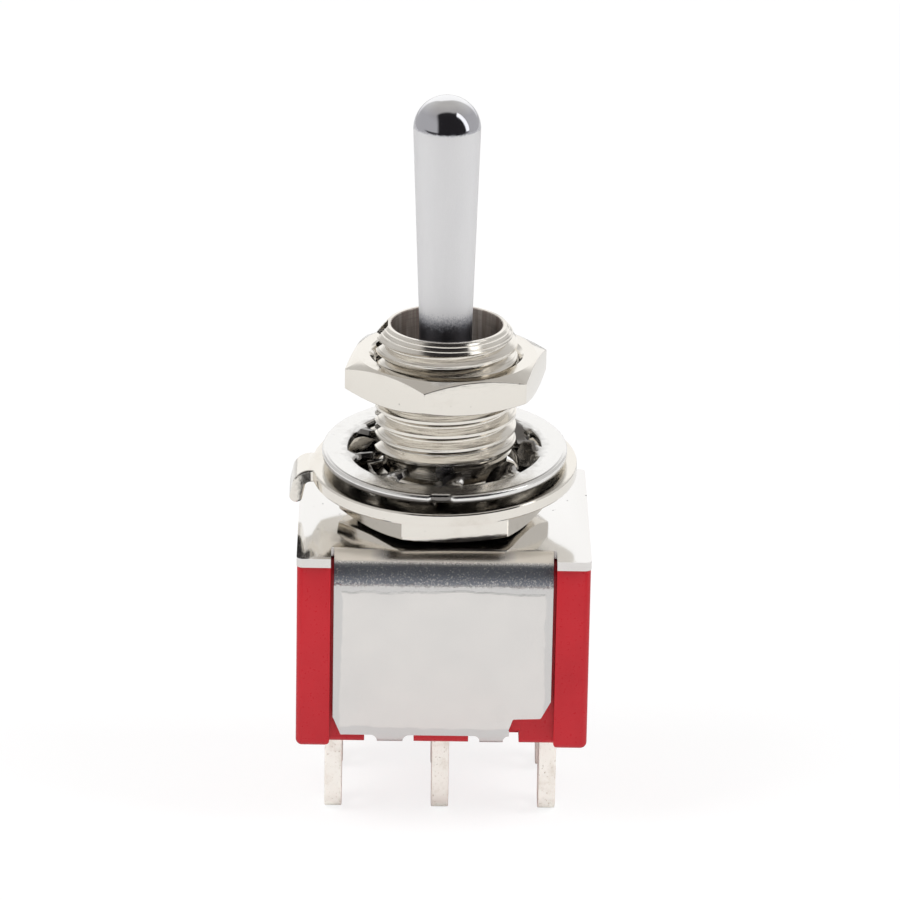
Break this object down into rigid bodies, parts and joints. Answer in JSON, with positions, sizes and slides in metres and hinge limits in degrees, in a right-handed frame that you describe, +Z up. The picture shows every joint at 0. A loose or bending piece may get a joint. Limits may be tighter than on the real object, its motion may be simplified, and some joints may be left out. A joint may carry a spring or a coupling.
{
  "type": "toggle switch",
  "caption": "Miniature double-pole toggle switch: bat lever in a threaded bushing with nuts and washers, folded metal frame, red case and solder lugs.",
  "frame": {"origin": "on the bushing's axis, level with the upper face of the sheet frame", "axes": "+Z up along the bushing, +X along each row of lugs and the lever's throw (the keyway is on -X), +Y to the rear, across the poles"},
  "size_m": [0.0131, 0.0116, 0.032],
  "materials": {
    "sheet": "nickel-plated sheet, satin",
    "case_plastic": "moulded thermoset, satin gloss",
    "nickel": "bright nickel plate on brass",
    "steel": "bright",
    "lever_plate": "satin chrome, polished at the tip",
    "nylon": "natural moulded nylon",
    "ring_plate": "nickel plate",
    "washer_plate": "nickel plate, satin",
    "plunger_metal": "plated, polished nose",
    "contact_blade": "silver-plated copper alloy",
    "terminal_plate": "silver-plated, slightly rough",
    "silver": "silver"
  },
  "bodies": {
    "housing": {"frame": "sheet", "case": "case_plastic", "bushing": "nickel", "pivot_pin": "steel", "terminal_front_left": "terminal_plate", "terminal_front_centre": "terminal_plate", "terminal_front_right": "terminal_plate", "terminal_rear_left": "terminal_plate", "terminal_rear_centre": "terminal_plate", "terminal_rear_right": "terminal_plate", "contact_front_left": "silver", "contact_front_right": "silver", "contact_rear_left": "silver", "contact_rear_right": "silver"},
    "lever": {"lever": "lever_plate", "actuator": "nylon", "spring_front": "steel", "spring_rear": "steel"},
    "plunger_front": {"plunger_front": "plunger_metal"},
    "plunger_rear": {"plunger_rear": "plunger_metal"},
    "rocker_front": {"rocker_front": "contact_blade"},
    "rocker_rear": {"rocker_rear": "contact_blade"},
    "upper_nut": {"upper_nut": "nickel"},
    "keyed_washers": {"locking_ring": "ring_plate", "lock_washer": "washer_plate"},
    "lower_nut": {"lower_nut": "nickel"}
  },
  "joints": [
    {"name": "lever_tilt", "type": "hinge", "parent": "housing", "child": "lever", "pos_m": [0, 0, 0.003], "axis": [0, 1, 0], "range_deg": [-11.5, 11.5]},
    {"name": "plunger_front_travel", "type": "slide", "parent": "lever", "child": "plunger_front", "axis": [0, 0, 1], "range_m": [0, 0.0003], "stiffness_N_per_m": 500, "springref_m": -0.0008, "deforming": ["spring_front"]},
    {"name": "rocker_front_tilt", "type": "hinge", "parent": "housing", "child": "rocker_front", "pos_m": [0, -0.00242, -0.00609], "axis": [0, 1, 0], "range_deg": [-5.6, 5.6]},
    {"name": "plunger_rear_travel", "type": "slide", "parent": "lever", "child": "plunger_rear", "axis": [0, 0, 1], "range_m": [0, 0.0003], "stiffness_N_per_m": 500, "springref_m": -0.0008, "deforming": ["spring_rear"]},
    {"name": "rocker_rear_tilt", "type": "hinge", "parent": "housing", "child": "rocker_rear", "pos_m": [0, 0.00242, -0.00609], "axis": [0, 1, 0], "range_deg": [-5.6, 5.6]},
    {"name": "upper_nut_travel", "type": "slide", "parent": "housing", "child": "upper_nut", "axis": [0, 0, 1], "range_m": [-0.00095, 0.0024]},
    {"name": "keyed_washers_travel", "type": "slide", "parent": "housing", "child": "keyed_washers", "axis": [0, 0, 1], "range_m": [0, 0.00127]},
    {"name": "lower_nut_turn", "type": "hinge", "parent": "keyed_washers", "child": "lower_nut", "pos_m": [0, 0, 0.00077], "axis": [0, 0, 1], "range_deg": [0, 720]}
  ],
  "couplings": [
    {"joint": "rocker_front_tilt", "follows": "lever_tilt", "ratio": -0.47826},
    {"joint": "rocker_rear_tilt", "follows": "lever_tilt", "ratio": -0.47826},
    {"joint": "lower_nut_turn", "follows": "keyed_washers_travel", "rad_per_m": 9894.8}
  ]
}
